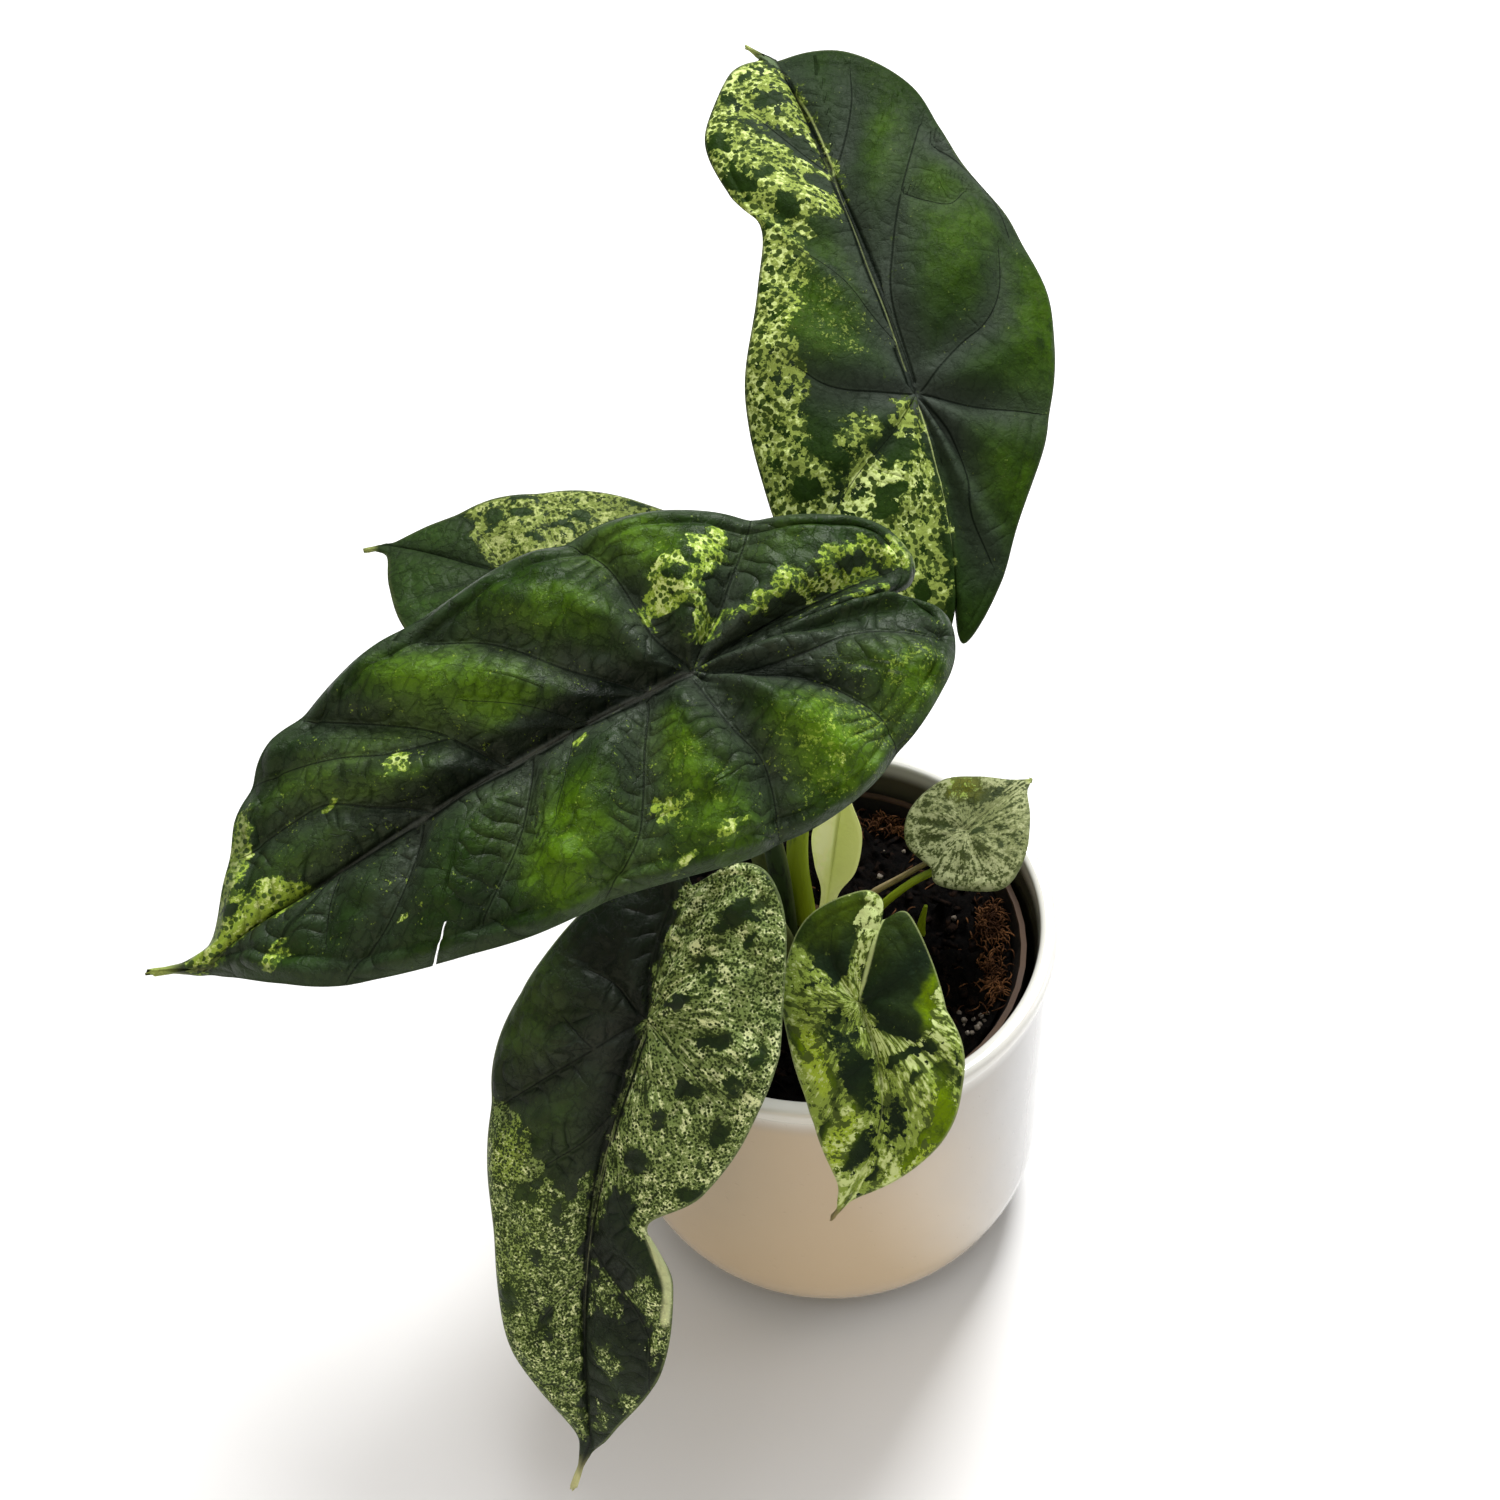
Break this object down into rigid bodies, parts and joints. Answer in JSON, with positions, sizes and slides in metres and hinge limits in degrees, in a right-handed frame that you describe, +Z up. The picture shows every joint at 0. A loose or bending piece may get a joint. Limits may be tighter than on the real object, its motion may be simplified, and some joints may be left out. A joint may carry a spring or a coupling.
{
  "type": "potted alocasia",
  "caption": "Variegated jewel alocasia with quilted peltate leaves on slim stalks, rooted in soil in a nursery pot inside a glossy white round cover pot.",
  "frame": {"origin": "centre of the cover pot's flat base, on the surface it stands on", "axes": "+Z up along the pot's axis, -Y towards the side that the picture looks at"},
  "size_m": [0.2009, 0.2633, 0.2714],
  "materials": {
    "glaze": "gloss",
    "nursery_plastic": "matte",
    "soil": "matte",
    "corm": "matte",
    "blade": "satin",
    "stalk": "satin",
    "cream_leaf": "satin"
  },
  "bodies": {
    "root": {"cover_pot": "glaze", "nursery_pot": "nursery_plastic", "soil": "soil", "corm": "corm", "tall_leaf_blade": "blade", "tall_leaf_stalk": "stalk", "large_leaf_blade": "blade", "large_leaf_stalk": "stalk", "left_leaf_blade": "blade", "left_leaf_stalk": "stalk", "low_leaf_blade": "blade", "low_leaf_stalk": "stalk", "front_leaf_blade": "blade", "front_leaf_stalk": "stalk", "small_leaf_blade": "blade", "small_leaf_stalk": "stalk", "young_leaf": "cream_leaf", "shoot": "stalk"}
  },
  "joints": []
}
